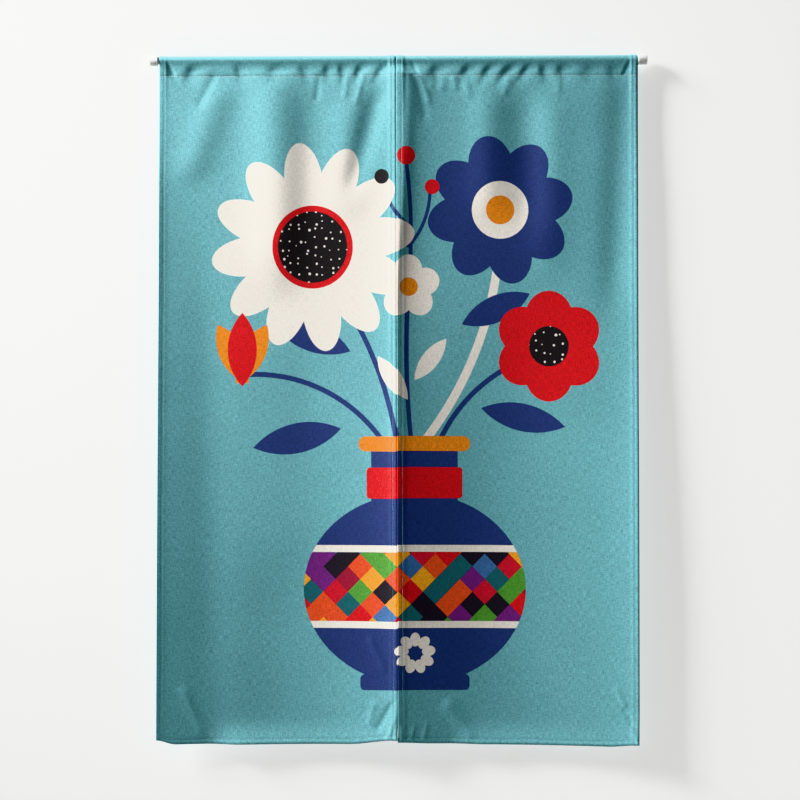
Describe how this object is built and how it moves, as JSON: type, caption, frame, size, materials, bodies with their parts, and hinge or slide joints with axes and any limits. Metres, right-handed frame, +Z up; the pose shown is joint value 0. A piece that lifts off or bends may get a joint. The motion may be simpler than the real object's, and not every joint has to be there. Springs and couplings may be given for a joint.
{
  "type": "noren curtain with rod",
  "caption": "Split doorway curtain of printed cloth panels hanging edge to edge from a thin white rod that runs through their sewn rod pockets.",
  "frame": {"origin": "middle of the outer face of the rod's left end cap, on the rod's axis", "axes": "+X along the rod, from the left end to the right as seen by someone in front of the curtain; -Y toward that person; +Z up"},
  "size_m": [0.8665, 0.0299, 1.204],
  "materials": {
    "cloth": "matte printed linen-look weave",
    "rod": "white coating, satin",
    "cap": "white, smooth"
  },
  "bodies": {
    "root": {"panel_left": "cloth", "panel_right": "cloth", "rod": "rod", "rod_cap_left": "cap", "rod_cap_right": "cap"}
  },
  "joints": []
}
